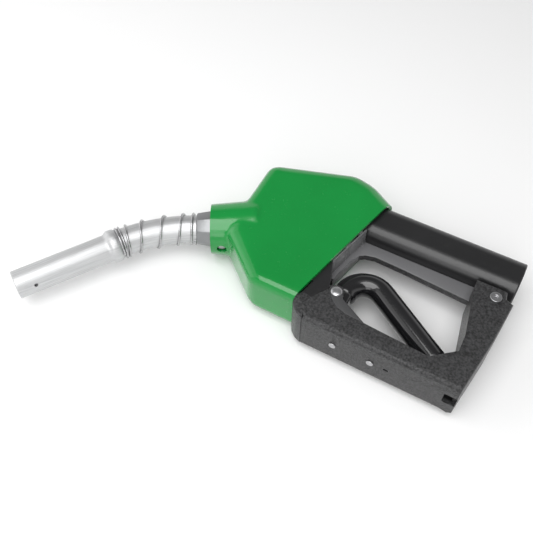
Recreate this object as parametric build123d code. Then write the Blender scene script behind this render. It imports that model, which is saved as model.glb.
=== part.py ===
from build123d import *
import math
import os

# Automatic shut-off fuel nozzle, lying on its side, in millimetres.
# +X runs along the handle and out of the hose inlet, +Y points to the top of the
# valve body, and Z goes across the nozzle, whose middle plane is z = 0.
# The origin is the centre of the inlet's mouth.

# Handle and inlet
INLET_BORE_R = 12.3
INLET_THREAD_LENGTH = 20.0
PASSAGE_R = 11.0
HANDLE_TUBE_R = 16.4
GRIP_HALF_HEIGHT = 19.0
GRIP_HALF_WIDTH = 17.8
GRIP_CORNER_R = 12.0

# Valve body: the two upright axes that all of the valve gear sits on
VALVE_X = -145.0
TRIP_X = -178.0
CHAMBER_R = 15.0
CHAMBER_WALL = 3.0
SEAT_TOP = -14.2
CAP_Y = 16.6
GALLERY_Y = -31.0
GALLERY_HALF_HEIGHT = 10.0
GALLERY_HALF_WIDTH = 17.0
GALLERY_FRONT_X = -208.0
GALLERY_REAR_X = -137.0
STEM_R = 3.0
PACKING_R = 6.0
TRIP_R = 6.0
TRIP_SLEEVE_R = 8.5
TRIP_COLLAR_R = 8.6
TRIP_POCKET_TOP = -52.0
TRIP_BOSS_FOOT = -72.0
DIAPHRAGM_Y = -6.0
DIAPHRAGM_R = 14.4
DIAPHRAGM_SCREW_CIRCLE_R = 12.2
LATCH_BALL_Y = -20.0

# Outer cover
COVER_HALF_WIDTH = 26.0
COVER_REAR_HALF_WIDTH = 22.4
COVER_PROW_HALF_WIDTH = 20.0
COVER_WALL = 2.6
BLOCK_REACH = 300.0
NECK_RIM_R = 20.5
NECK_FLARE = 4.2
NECK_LENGTH = 40.0

# Spout: a straight base, one bend and a straight tip
SPOUT_ROOT = (-250.5, -67.0)
SPOUT_BASE_ANGLE = 28.6
SPOUT_TIP_ANGLE = 57.4
SPOUT_BEND_R = 137.0
SPOUT_R = 11.9
SPOUT_WALL = 1.2
SPOUT_INSERT = 22.0
NUT_LENGTH = 12.5
SPOUT_TIP_LENGTH = 90.0
SPOUT_RING_R = 14.2
OUTLET_R = 10.95
OUTLET_LENGTH = 12.0
SENSING_HOLE_FROM_TIP = 15.0
SENSING_ANGLE = 20.0
VENT_R = 2.6
ANCHOR_WIRE_R = 1.0
ANCHOR_PITCHES = (3.0, 12.0, 18.0, 18.0, 11.0, 2.6, 2.4)
ANCHOR_STEPS = 12
CHECK_OFFSET = -4.0

# Lever guard and finger window
GUARD_HALF_WIDTH = 20.0
GUARD_WALL = 3.6
WEB_HALF_WIDTH = 2.8
GUARD_FLOOR_Y = -120.5
RIVET_POINT = (-123.3, -86.6)
REAR_SCREW = (-13.1, -32.5)
FLOOR_RIVETS = (-109.0, -77.5)
HOLD_OPEN_PIVOT = (-68.0, -110.5)

# Lever
LEVER_PIVOT_Y = -83.0
LEVER_PIN_R = 3.0
LEVER_CORE_HALF_WIDTH = 5.0
LEVER_CORE_HALF_HEIGHT = 6.0
LEVER_SLEEVE_R = 9.4
LEVER_ARCH = (-103.0, -73.0)
LEVER_ARCH_R = 17.5
LEVER_SLOPE = 32.3
LEVER_STRAIGHT = 70.0

RUNNING_GAP = 0.05


def bar_y(x, low, high, radius, z=0.0):
    """Round bar whose axis runs along Y, from low to high."""
    return Pos(x, (low + high) / 2, z) * Rot(90, 0, 0) * Cylinder(radius, high - low)


def tube_y(x, low, high, outer, inner, z=0.0):
    return bar_y(x, low, high, outer, z) - bar_y(x, low - 1, high + 1, inner, z)


def bar_z(x, y, low, high, radius):
    """Round bar across the nozzle, from z = low to z = high."""
    return Pos(x, y, (low + high) / 2) * Cylinder(radius, high - low)


def bar_x(low, high, radius):
    """Round bar on the handle's axis."""
    return Pos((low + high) / 2, 0, 0) * Rot(0, 90, 0) * Cylinder(radius, high - low)


def slab(points, low, high):
    """Flat plate with the given outline, from z = low to z = high."""
    outline = make_face(Polyline(*points, close=True))
    return Pos(0, 0, low) * extrude(outline, high - low)


def box(x, y, z):
    """Block between pairs of limits along each axis."""
    middle = Pos((x[0] + x[1]) / 2, (y[0] + y[1]) / 2, (z[0] + z[1]) / 2)
    return middle * Box(x[1] - x[0], y[1] - y[0], z[1] - z[0])


def hexagon_y(x, low, high, radius):
    """Hexagonal head whose axis runs along Y; radius reaches its corners."""
    prism = extrude(RegularPolygon(radius, 6), (high - low) / 2, both=True)
    return Pos(x, (low + high) / 2, 0) * Rot(90, 0, 0) * prism


def heading(angle):
    """Unit vector that leaves the body towards the spout's tip."""
    return Vector(-math.cos(math.radians(angle)), -math.sin(math.radians(angle)), 0)


def coil_y(x, low, high, radius, wire, turns):
    """Compression spring on an axis along Y."""
    height = high - low - 2 * wire
    path = Helix(height / turns, height, radius)
    wire_section = (path ^ 0) * Circle(wire)
    return Pos(x, high - wire, 0) * Rot(90, 0, 0) * sweep(wire_section, path, is_frenet=True)


# The spout's own frame: its Z axis points out of the body along the straight base
BASE_HEADING = heading(SPOUT_BASE_ANGLE)
TIP_HEADING = heading(SPOUT_TIP_ANGLE)
BASE_UNDERSIDE = Vector(-BASE_HEADING.Y, BASE_HEADING.X, 0)
TIP_UNDERSIDE = Vector(-TIP_HEADING.Y, TIP_HEADING.X, 0)
ROOT_POINT = Vector(SPOUT_ROOT[0], SPOUT_ROOT[1], 0)
BEND_START = ROOT_POINT + BASE_HEADING * NUT_LENGTH
BEND_CENTRE = BEND_START + BASE_UNDERSIDE * SPOUT_BEND_R
BEND_END = BEND_CENTRE - TIP_UNDERSIDE * SPOUT_BEND_R
SPOUT_TIP = BEND_END + TIP_HEADING * SPOUT_TIP_LENGTH


def on_base(distance):
    """Plane square to the spout's base, at a distance out from the body's mouth."""
    return Plane(ROOT_POINT + BASE_HEADING * distance, x_dir=(0, 0, 1), z_dir=BASE_HEADING)


def base_bar(start, end, radius, drop=0.0):
    """Round bar along the spout's base between two distances from the mouth."""
    middle = on_base((start + end) / 2)
    return Pos(BASE_UNDERSIDE * drop) * (middle * Cylinder(radius, end - start))


def base_cone(start, end, start_radius, end_radius):
    middle = on_base((start + end) / 2)
    return middle * Cone(start_radius, end_radius, end - start)


def spout_line(lead, tail, drop=0.0, side=0.0):
    """Centre line of the spout, or a line beside it, lowered by drop and moved by side."""
    shift = Vector(0, 0, side)
    first = ROOT_POINT - BASE_HEADING * lead + BASE_UNDERSIDE * drop + shift
    bend_in = BEND_START + BASE_UNDERSIDE * drop + shift
    half_way = heading((SPOUT_BASE_ANGLE + SPOUT_TIP_ANGLE) / 2)
    half_underside = Vector(-half_way.Y, half_way.X, 0)
    bend_middle = BEND_CENTRE - half_underside * (SPOUT_BEND_R - drop) + shift
    bend_out = BEND_END + TIP_UNDERSIDE * drop + shift
    last = SPOUT_TIP - TIP_HEADING * tail + TIP_UNDERSIDE * drop + shift
    base = Line(first, bend_in)
    bend = ThreePointArc(bend_in, bend_middle, bend_out)
    tip = Line(bend_out, last)
    return Wire([base, bend, tip])


def spout_rod(radius, lead, tail, drop=0.0, side=0.0):
    line = spout_line(lead, tail, drop, side)
    section = Plane(line @ 0, z_dir=line % 0) * Circle(radius)
    return sweep(section, line)


# ---------------------------------------------------------------- body casting

def body_casting():
    """Aluminium casting: handle tube, valve chamber, outlet gallery and spout socket."""
    wall = CHAMBER_WALL
    floor = GALLERY_Y - GALLERY_HALF_HEIGHT
    ceiling = GALLERY_Y + GALLERY_HALF_HEIGHT
    side = GALLERY_HALF_WIDTH
    outer = bar_x(VALVE_X, 0, HANDLE_TUBE_R)
    outer += bar_y(VALVE_X, SEAT_TOP - 8, CAP_Y, CHAMBER_R + wall)
    ends = (GALLERY_FRONT_X - wall, GALLERY_REAR_X + wall)
    outer += box(ends, (floor - wall, ceiling + wall), (-side - wall, side + wall))
    outer += bar_y(TRIP_X, ceiling, DIAPHRAGM_Y, DIAPHRAGM_R)
    outer += bar_y(TRIP_X, TRIP_BOSS_FOOT, floor, 11.5)
    outer += bar_y(VALVE_X, -58, floor, PACKING_R + 2.5)
    outer += base_bar(-60, -1.5, 17.4)

    hollow = bar_x(VALVE_X, 1, PASSAGE_R)
    hollow += bar_x(-INLET_THREAD_LENGTH, 1, INLET_BORE_R)
    hollow += bar_y(VALVE_X, SEAT_TOP, CAP_Y + 1, CHAMBER_R)
    hollow += bar_y(VALVE_X, SEAT_TOP - 6, SEAT_TOP + 1, CHAMBER_R - 2)
    hollow += bar_y(VALVE_X, floor, SEAT_TOP, 9)
    hollow += box((GALLERY_FRONT_X, GALLERY_REAR_X), (floor, ceiling), (-side, side))
    hollow += base_bar(-56, 0, 12.1)
    hollow += base_bar(-20.2, -18.2, 13.6)
    hollow += base_bar(-15, 0, 15.05)
    hollow -= bar_y(TRIP_X, floor - 1, ceiling + 1, TRIP_SLEEVE_R)

    casting = outer - hollow
    casting -= bar_y(TRIP_X, TRIP_BOSS_FOOT - 1, DIAPHRAGM_Y + 1, TRIP_R + RUNNING_GAP)
    casting -= bar_y(TRIP_X, TRIP_BOSS_FOOT - 1, TRIP_POCKET_TOP, TRIP_COLLAR_R + 0.4)
    casting -= bar_y(TRIP_X, LATCH_BALL_Y + 4, DIAPHRAGM_Y + 1, 9.45)
    casting -= bar_y(VALVE_X, -60, floor + 1, STEM_R + 0.3)
    casting -= bar_y(VALVE_X, -60, -46, PACKING_R + RUNNING_GAP)
    casting -= cap_screw_bars(DIAPHRAGM_Y - 6, DIAPHRAGM_Y + 1, 1.4)
    return casting - spout_screw_bar(14, 19, 1.65)


def spout_screw_bar(low, high, radius):
    """Round bar square to the spout's base, on its underside behind the mouth."""
    centre = ROOT_POINT - BASE_HEADING * 9.5 + BASE_UNDERSIDE * ((low + high) / 2)
    return Plane(centre, z_dir=BASE_UNDERSIDE) * Cylinder(radius, high - low)


def body_cap():
    """Screwed cap over the valve chamber; it also seats the main spring."""
    low = CAP_Y + 0.1
    cap = bar_y(VALVE_X, low, low + 4, CHAMBER_R + CHAMBER_WALL)
    cap += bar_y(VALVE_X, low - 6, low, CHAMBER_R - RUNNING_GAP)
    cap += hexagon_y(VALVE_X, low + 3, low + 7, 8)
    cap -= tube_y(VALVE_X, low - 4, low - 2, CHAMBER_R + 1, CHAMBER_R - 1.8)
    return cap - bar_y(VALVE_X, low - 7, low + 2, 11)


def body_cap_seal():
    low = CAP_Y - 3.85
    return tube_y(VALVE_X, low, low + 1.9, CHAMBER_R - RUNNING_GAP, CHAMBER_R - 1.75)


def valve_seat():
    return tube_y(VALVE_X, SEAT_TOP - 5.95, SEAT_TOP - 0.1, CHAMBER_R - 2 - RUNNING_GAP, 9)


def stem_packing():
    return tube_y(VALVE_X, -52, -46.05, PACKING_R, STEM_R + RUNNING_GAP)


def packing_nut():
    nut = bar_y(VALVE_X, -59, -52.1, PACKING_R)
    nut += hexagon_y(VALVE_X, -62, -58.1, 8.4)
    return nut - bar_y(VALVE_X, -64, -50, STEM_R + 0.3)


# ------------------------------------------------------------------ main valve

def main_stem():
    """Rod that the lever lifts; its rounded foot stands just over the lever's heel."""
    foot = LEVER_PIVOT_Y + LEVER_CORE_HALF_HEIGHT + 0.3
    stem = bar_y(VALVE_X, foot + STEM_R, SEAT_TOP + 6, STEM_R)
    return stem + Pos(VALVE_X, foot + STEM_R, 0) * Sphere(STEM_R)


def poppet():
    """Carrier of the main valve's disc, with a hub inside the spring."""
    body = bar_y(VALVE_X, SEAT_TOP + 2, SEAT_TOP + 6, 12)
    body += bar_y(VALVE_X, SEAT_TOP + 6, SEAT_TOP + 11, 6)
    return body - bar_y(VALVE_X, SEAT_TOP, SEAT_TOP + 6, STEM_R)


def poppet_disc():
    return tube_y(VALVE_X, SEAT_TOP + 0.1, SEAT_TOP + 2, 12, STEM_R)


def main_spring():
    return coil_y(VALVE_X, SEAT_TOP + 6.1, CAP_Y + 1.9, 8.5, 1.1, 4)


# ----------------------------------------------------------- shut-off assembly

def cap_screw_bars(low, high, radius):
    """Four bars at the places of the vacuum cap's screws."""
    bars = []
    for angle in (45, 135, 225, 315):
        x = TRIP_X + DIAPHRAGM_SCREW_CIRCLE_R * math.cos(math.radians(angle))
        z = DIAPHRAGM_SCREW_CIRCLE_R * math.sin(math.radians(angle))
        bars.append(bar_y(x, low, high, radius, z))
    return Part() + bars


def diaphragm():
    """Rubber disc that the vent's suction lifts."""
    disc = tube_y(TRIP_X, DIAPHRAGM_Y + 0.05, DIAPHRAGM_Y + 1.65, DIAPHRAGM_R, 2.05)
    return disc - cap_screw_bars(DIAPHRAGM_Y - 1, DIAPHRAGM_Y + 3, 1.7)


def vacuum_cap():
    """Cap over the diaphragm, with the pocket for its spring."""
    low = DIAPHRAGM_Y + 1.7
    cap = bar_y(TRIP_X, low, low + 3.5, DIAPHRAGM_R)
    cap += bar_y(TRIP_X, low, low + 15, 9.5)
    cap -= bar_y(TRIP_X, low - 1, low + 13, 8)
    return cap - cap_screw_bars(low - 1, low + 5, 1.7)


def cap_screws():
    low = DIAPHRAGM_Y + 5.25
    heads = cap_screw_bars(low, low + 2, 2.1)
    return heads + cap_screw_bars(DIAPHRAGM_Y - 5, low, 1.35)


def diaphragm_spring():
    return coil_y(TRIP_X, DIAPHRAGM_Y + 3.9, DIAPHRAGM_Y + 14.6, 5.5, 0.6, 4)


def latch_pin():
    """Pin under the diaphragm that holds the balls out while the fuel flows."""
    pin = bar_y(TRIP_X, LATCH_BALL_Y - 5, DIAPHRAGM_Y + 3.5, 2)
    return pin + bar_y(TRIP_X, DIAPHRAGM_Y + 1.75, DIAPHRAGM_Y + 3.7, 7.2)


def latch_ring():
    """Hardened ring that the balls bear on."""
    return tube_y(TRIP_X, LATCH_BALL_Y + 4.05, DIAPHRAGM_Y - 0.1, 9.4, TRIP_R + RUNNING_GAP)


def latch_balls():
    balls = []
    for angle in (90, 210, 330):
        x = TRIP_X + 4.0 * math.cos(math.radians(angle))
        z = 4.0 * math.sin(math.radians(angle))
        balls.append(Pos(x, LATCH_BALL_Y, z) * Sphere(1.75))
    return Part() + balls


def trip_stem():
    """Plunger that carries the lever's pivot and drops when the balls let go."""
    stem = bar_y(TRIP_X, LEVER_PIVOT_Y + 8, LATCH_BALL_Y + 3.5, TRIP_R)
    stem += bar_y(TRIP_X, TRIP_POCKET_TOP - 2.1, TRIP_POCKET_TOP - 0.1, TRIP_COLLAR_R)
    stem += box((TRIP_X - 5.8, TRIP_X + 5.8), (LEVER_PIVOT_Y - 6, LEVER_PIVOT_Y + 10.2), (-9.5, 9.5))
    gap = LEVER_CORE_HALF_WIDTH + 0.35
    stem -= box((TRIP_X - 9, TRIP_X + 9), (LEVER_PIVOT_Y - 7, LEVER_PIVOT_Y + 7.8), (-gap, gap))
    stem -= bar_y(TRIP_X, LATCH_BALL_Y - 10, LATCH_BALL_Y + 4, 2.2)
    stem -= bar_z(TRIP_X, LEVER_PIVOT_Y, -12, 12, LEVER_PIN_R)
    for angle in (90, 210, 330):
        x = TRIP_X + 4.0 * math.cos(math.radians(angle))
        z = 4.0 * math.sin(math.radians(angle))
        outward = Vector(x - TRIP_X, 0, z)
        stem -= Plane((x, LATCH_BALL_Y, z), z_dir=outward) * Cylinder(1.9, 5)
    return stem


def trip_gland():
    """Ring that closes the plunger's pocket and seats its spring."""
    return tube_y(TRIP_X, TRIP_BOSS_FOOT, TRIP_BOSS_FOOT + 2.5, TRIP_COLLAR_R + 0.35, TRIP_R + RUNNING_GAP)


def trip_spring():
    return coil_y(TRIP_X, TRIP_BOSS_FOOT + 2.6, TRIP_POCKET_TOP - 2.2, 7.5, 0.8, 4)


def lever_pin():
    pin = bar_z(TRIP_X, LEVER_PIVOT_Y, -10.4, 10.4, LEVER_PIN_R)
    return pin + bar_z(TRIP_X, LEVER_PIVOT_Y, 9.6, 11.4, 4.6)


# ----------------------------------------------------------------------- cover

# Corners of the cover's side outline, in turn from the open rear over the crown to the foot.
COVER_CORNERS = [(-108.0, 15.3), (-140.0, 32.9), (-160.0, 35.8), (-232.6, 10.8),
                 (-232.6, -72.6), (-189.4, -108.6), (-138.0, -108.6)]
COVER_EDGE_RADII = [16, 16, 16, 12, 12, 8]
REAR_CUT = [(-116.2, 40), (-153.8, -125), (-80, -125), (-80, 40)]


def drawn_in(start, end, inset):
    """The line from start to end, moved into the cover by inset, and its inward direction."""
    along = Vector(end[0] - start[0], end[1] - start[1], 0).normalized()
    inward = Vector(-along.Y, along.X, 0)
    middle = Vector((start[0] + end[0]) / 2, (start[1] + end[1]) / 2, 0) + inward * inset
    return Plane(middle, x_dir=inward, z_dir=along)


def rounded_block(start, end, half, radius, inset):
    """Everything inside one line of the outline, with both long edges rounded."""
    section = Pos(BLOCK_REACH / 2, 0) * Rectangle(BLOCK_REACH, 2 * half)
    section = fillet(section.vertices().group_by(Axis.X)[0], radius)
    return extrude(drawn_in(start, end, inset) * section, BLOCK_REACH, both=True)


def tapered_block(start, end, edge_half, half, width, inset):
    """Everything inside one line of the outline, thinning towards it over a width."""
    corners = [(0, edge_half), (width, half), (BLOCK_REACH, half),
               (BLOCK_REACH, -half), (width, -half), (0, -edge_half)]
    section = make_face(Polyline(*corners, close=True))
    return extrude(drawn_in(start, end, inset) * section, BLOCK_REACH, both=True)


def cover_block(inset):
    """Cover's body as the space inside all of its rounded and tapered sides."""
    half = COVER_HALF_WIDTH - inset
    block = Box(BLOCK_REACH * 4, BLOCK_REACH * 4, BLOCK_REACH)
    for start, end, radius in zip(COVER_CORNERS, COVER_CORNERS[1:], COVER_EDGE_RADII):
        block &= rounded_block(start, end, half, radius - inset, inset)
    prow, toe, foot, rear = COVER_CORNERS[4], COVER_CORNERS[5], COVER_CORNERS[6], COVER_CORNERS[0]
    block &= tapered_block(prow, toe, COVER_PROW_HALF_WIDTH - inset, half, 45, inset)
    return block & tapered_block(foot, rear, COVER_REAR_HALF_WIDTH - inset, half, 55, 0)


def body_cover():
    """Green vinyl cover: one moulded shell, open at the neck and at the slanting rear."""
    outer = cover_block(0)
    outer += base_cone(-NECK_LENGTH, 0, NECK_RIM_R + NECK_FLARE, NECK_RIM_R)
    inner = cover_block(COVER_WALL)
    inner += base_cone(-NECK_LENGTH, 1, NECK_RIM_R + NECK_FLARE - COVER_WALL, NECK_RIM_R - COVER_WALL)
    cover = outer - inner - slab(REAR_CUT, -40, 40)
    return cover - spout_screw_bar(15, 30, 4.2)


# ----------------------------------------------------------------------- spout

def spout_nut():
    """Tapered aluminium nut that holds the spout in its socket."""
    nut = base_cone(-1.3, NUT_LENGTH, 16.4, 13.8)
    nut += base_bar(-14.5, -1.2, 15)
    return nut - base_bar(-16, NUT_LENGTH + 1, SPOUT_R + RUNNING_GAP)


def spout_screw():
    """Locking screw in the neck's recess."""
    return spout_screw_bar(15.1, 17.6, 1.6) + spout_screw_bar(17.5, 19.8, 3.2)


def spout_seal():
    return base_bar(-20.15, -18.25, 13.55) - base_bar(-21, -17, SPOUT_R + RUNNING_GAP)


def sensing_bar(low, high, radius):
    """Round bar through the sensing hole, square to the spout's tip."""
    angle = math.radians(SENSING_ANGLE)
    outward = TIP_UNDERSIDE * math.cos(angle) + Vector(0, 0, math.sin(angle))
    centre = SPOUT_TIP - TIP_HEADING * SENSING_HOLE_FROM_TIP + outward * ((low + high) / 2)
    return Plane(centre, z_dir=outward) * Cylinder(radius, high - low)


def spout_tube():
    """Bent aluminium tube with a swaged ring that stops the anchor spring."""
    tube = spout_rod(SPOUT_R, SPOUT_INSERT, 0)
    ring_centre = BEND_END + TIP_HEADING * 4.5
    ring = Plane(ring_centre, z_dir=TIP_HEADING) * Cylinder(SPOUT_RING_R, 7)
    tube += chamfer(ring.edges(), 2.0)
    tube -= spout_rod(SPOUT_R - SPOUT_WALL, SPOUT_INSERT + 1, -1)
    mouth = SPOUT_TIP - TIP_HEADING * (OUTLET_LENGTH / 2 - 1)
    tube -= Plane(mouth, z_dir=TIP_HEADING) * Cylinder(OUTLET_R, OUTLET_LENGTH + 2)
    return tube - sensing_bar(9, 13, 1.6)


VENT_REACH = SPOUT_R - SPOUT_WALL - VENT_R - 0.12
VENT_DROP = VENT_REACH * math.cos(math.radians(SENSING_ANGLE))
VENT_SIDE = VENT_REACH * math.sin(math.radians(SENSING_ANGLE))


def vent_tube():
    """Thin tube that draws air from the sensing hole back to the venturi."""
    tube = spout_rod(VENT_R, SPOUT_INSERT + 0.5, 12.5, VENT_DROP, VENT_SIDE)
    tube -= spout_rod(VENT_R - 0.7, SPOUT_INSERT + 1, 13.3, VENT_DROP, VENT_SIDE)
    return tube - sensing_bar(VENT_REACH, 13, 1.5)


def venturi_body():
    """Block behind the spout with the check valve's seat."""
    body = base_bar(-38, -SPOUT_INSERT - 0.9, 12.05)
    body -= base_bar(-39, -SPOUT_INSERT, 5.2, CHECK_OFFSET)
    return body - Pos(0, 0, VENT_SIDE) * base_bar(-30, -SPOUT_INSERT, 1.9, VENT_DROP)


def check_poppet():
    """Spring-loaded check disc that opens when fuel flows."""
    disc = base_bar(-SPOUT_INSERT - 0.8, -SPOUT_INSERT + 1.5, 5.9, CHECK_OFFSET)
    return disc + base_bar(-SPOUT_INSERT, -9, 1.5, CHECK_OFFSET)


def check_guide():
    """Spider inside the spout that guides the check disc's stem."""
    guide = base_bar(-7.6, -5.6, SPOUT_R - SPOUT_WALL - RUNNING_GAP)
    guide += base_bar(-11, -5.6, 2.8, CHECK_OFFSET)
    guide -= base_bar(-12, -5, 1.55, CHECK_OFFSET)
    guide -= Pos(0, 0, VENT_SIDE) * base_bar(-12, -5, VENT_R + 0.1, VENT_DROP)
    for side in (-1, 1):
        guide -= Pos(0, 0, side * 6.4) * base_bar(-12, -5, 2.9, -1)
    return guide


def check_spring():
    height = 11.0
    path = Helix(height / 4, height, 3.6)
    coil = sweep((path ^ 0) * Circle(0.4), path, is_frenet=True)
    return Pos(BASE_UNDERSIDE * CHECK_OFFSET) * (on_base(-SPOUT_INSERT + 2.1) * coil)


def spout_frame(distance):
    """Point on the spout's centre line and the direction of its underside there."""
    bend_length = math.radians(SPOUT_TIP_ANGLE - SPOUT_BASE_ANGLE) * SPOUT_BEND_R
    along = distance - NUT_LENGTH
    turned = max(0.0, min(1.0, along / bend_length))
    angle = SPOUT_BASE_ANGLE + turned * (SPOUT_TIP_ANGLE - SPOUT_BASE_ANGLE)
    direction = heading(angle)
    underside = Vector(-direction.Y, direction.X, 0)
    point = BEND_CENTRE - underside * SPOUT_BEND_R
    point += direction * (along - turned * bend_length)
    return point, underside


def anchor_spring():
    """Coil that hooks the nozzle in a filler neck: close turns at the ring, open ones behind."""
    radius = SPOUT_R + ANCHOR_WIRE_R + 0.3
    points = []
    distance = NUT_LENGTH + 1.3
    for turn_pitch in ANCHOR_PITCHES:
        for step in range(ANCHOR_STEPS):
            points.append(anchor_point(distance, 360 * step / ANCHOR_STEPS, radius))
            distance += turn_pitch / ANCHOR_STEPS
    path = Spline(*points)
    return sweep(Plane(path @ 0, z_dir=path % 0) * Circle(ANCHOR_WIRE_R), path)


def anchor_point(distance, angle, radius):
    point, underside = spout_frame(distance)
    turn = math.radians(angle)
    return point + underside * (radius * math.cos(turn)) - Vector(0, 0, radius * math.sin(turn))


# ------------------------------------------------------------- grip and guard

def both_sides(points, low, high):
    """The same flat plate on the near and the far side."""
    return slab(points, low, high) + slab(points, -high, -low)


def hand_grip():
    """Black insulator moulded over the handle, with cheeks that reach the lever's rivet."""
    section = Rectangle(2 * GRIP_HALF_WIDTH, GRIP_HALF_HEIGHT + 18)
    section = fillet(section.vertices(), GRIP_CORNER_R)
    centre_y = (GRIP_HALF_HEIGHT - 18) / 2
    grip = extrude(Plane((-126, centre_y, 0), x_dir=(0, 0, 1), z_dir=(1, 0, 0)) * section, 126)
    grip -= bar_x(-130, 1, HANDLE_TUBE_R + RUNNING_GAP)
    grip -= bar_y(VALVE_X, -30, 30, CHAMBER_R + CHAMBER_WALL + 0.1)
    return grip


def front_cheeks():
    cheek = [(-150, -58), (-139.5, -58), (-135.5, -69), (-132, -78.5), (-129.7, -86.3),
             (-138.2, -99.7), (-142.7, -112), (-148, -108.5), (-147.1, -99),
             (-144, -86.5), (-150, -83)]
    return both_sides(cheek, GUARD_HALF_WIDTH - GUARD_WALL, GUARD_HALF_WIDTH - 0.4)


def lever_guard():
    """Textured channel round the finger window, with a thin web under the handle."""
    inner = GUARD_HALF_WIDTH - GUARD_WALL
    plate = [(-129.4, -86.3), (-138, -99.8), (-142.5, -112.1), (-136, GUARD_FLOOR_Y), (-9, GUARD_FLOOR_Y),
             (-2, -70), (1.2, -31.5), (-5, -29), (-6, -23), (-31, -23), (-31, -30), (-22.3, -76),
             (-22, -90.5), (-40, -105.5), (-93, -102.5), (-116, -90.5), (-118, -86)]
    guard = both_sides(plate, inner, GUARD_HALF_WIDTH)
    for side in (-1, 1):
        middle = side * (inner + GUARD_HALF_WIDTH) / 2
        guard += Pos(RIVET_POINT[0], RIVET_POINT[1], middle) * Cylinder(6, GUARD_WALL)
    floor_front = [(-142.5, -112.1), (-136, GUARD_FLOOR_Y), (-9, GUARD_FLOOR_Y),
                   (-9.5, GUARD_FLOOR_Y + 3.5), (-134.5, GUARD_FLOOR_Y + 3.5), (-139.6, -110.5)]
    guard += slab(floor_front, -inner, inner)
    rear_wall = [(-9, GUARD_FLOOR_Y), (-2, -70), (1.2, -31.5),
                 (-2.4, -31.5), (-5.6, -70), (-12.6, GUARD_FLOOR_Y)]
    guard += slab(rear_wall, -inner, inner)
    window_wall = [(-31, -23), (-31, -30), (-22.3, -76), (-22, -86),
                   (-19, -86), (-19.3, -76), (-28, -29), (-28, -23)]
    guard += slab(window_wall, -inner, inner)
    web = [(-26, -18.05), (-126.8, -18.05), (-126.8, -22.4), (-133.8, -22.4), (-133.8, -44.4),
           (-136.2, -44.4), (-136.2, -63), (-141, -63), (-141, -68.2), (-134.5, -68.2), (-134.5, -61),
           (-130.5, -42), (-126.5, -34.5), (-121.5, -31), (-113.5, -29), (-90, -29.6), (-26, -33.5)]
    guard += slab(web, -WEB_HALF_WIDTH, WEB_HALF_WIDTH)
    guard -= box((-19, -8.8), (GUARD_FLOOR_Y - 1, GUARD_FLOOR_Y + 4), (-6, 6))
    guard -= box((-66.5, -62.5), (GUARD_FLOOR_Y - 1, GUARD_FLOOR_Y + 4), (-1.1, 1.1))
    guard -= bar_z(REAR_SCREW[0], REAR_SCREW[1], -25, 25, 2.6)
    guard -= bar_z(RIVET_POINT[0], RIVET_POINT[1], -25, 25, 2.0)
    for x in FLOOR_RIVETS:
        guard -= bar_y(x, GUARD_FLOOR_Y - 1, GUARD_FLOOR_Y + 5, 1.6)
    return guard


def guard_rivets():
    """Two domed rivets at the guard's front boss, one on each side."""
    rivets = []
    for side in (-1, 1):
        shank = bar_z(RIVET_POINT[0], RIVET_POINT[1], 15.0, 20.3, 1.95)
        head = bar_z(RIVET_POINT[0], RIVET_POINT[1], 20.05, 21.3, 2.8)
        tail = bar_z(RIVET_POINT[0], RIVET_POINT[1], 14.6, 16.3, 2.9)
        rivet = shank + head + tail
        rivets.append(rivet if side > 0 else mirror(rivet, Plane.XY))
    return Part() + rivets


def rear_screw():
    """Long screw that ties both sides of the guard to the handle's lug."""
    screw = bar_z(REAR_SCREW[0], REAR_SCREW[1], -19, 20.2, 2.5)
    head = bar_z(REAR_SCREW[0], REAR_SCREW[1], 20.05, 21.8, 4.6)
    return screw + head - bar_z(REAR_SCREW[0], REAR_SCREW[1], 20.4, 22, 1.8)


def rear_nut():
    nut = bar_z(REAR_SCREW[0], REAR_SCREW[1], -22, -20.05, 4.4)
    return nut + bar_z(REAR_SCREW[0], REAR_SCREW[1], -20.1, -19.1, 2.5)


def floor_rivets():
    rivets = []
    for x in FLOOR_RIVETS:
        shank = bar_y(x, GUARD_FLOOR_Y - 0.3, GUARD_FLOOR_Y + 6.4, 1.55)
        head = bar_y(x, GUARD_FLOOR_Y - 0.8, GUARD_FLOOR_Y - 0.05, 2.9)
        tail = bar_y(x, GUARD_FLOOR_Y + 5.1, GUARD_FLOOR_Y + 6.5, 2.6)
        rivets.append(shank + head + tail)
    return Part() + rivets


def hold_open_bracket():
    """Pressed steel bracket on the guard's floor, with two ears for the latch's pin."""
    low = GUARD_FLOOR_Y + 3.55
    bracket = box((-116, -62), (low, low + 1.5), (-7, 7))
    for side in (-1, 1):
        ear = box((-74, -62), (low, low + 10), (5.5, 7))
        bracket += ear if side > 0 else mirror(ear, Plane.XY)
    bracket -= bar_z(HOLD_OPEN_PIVOT[0], HOLD_OPEN_PIVOT[1], -9, 9, 1.5)
    for x in FLOOR_RIVETS:
        bracket -= bar_y(x, low - 1, low + 3, 1.6)
    return bracket


def hold_open_latch():
    """Swinging prop with three steps that holds the lever up."""
    x, y = HOLD_OPEN_PIVOT
    arm = [(x + 3, y - 2.6), (x + 3, y + 2.6), (x - 10, y + 3),
           (x - 10, y + 1), (x - 18, y + 3), (x - 18, y + 1),
           (x - 26, y + 3), (x - 26, y + 1), (x - 36, y + 3), (x - 36, y - 1), (x - 12, y - 2.6)]
    latch = slab(arm, -4, 4)
    return latch - bar_z(x, y, -6, 6, 1.5 + RUNNING_GAP)


def hold_open_pin():
    return bar_z(HOLD_OPEN_PIVOT[0], HOLD_OPEN_PIVOT[1], -8, 8, 1.5)


# ----------------------------------------------------------------------- lever

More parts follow.
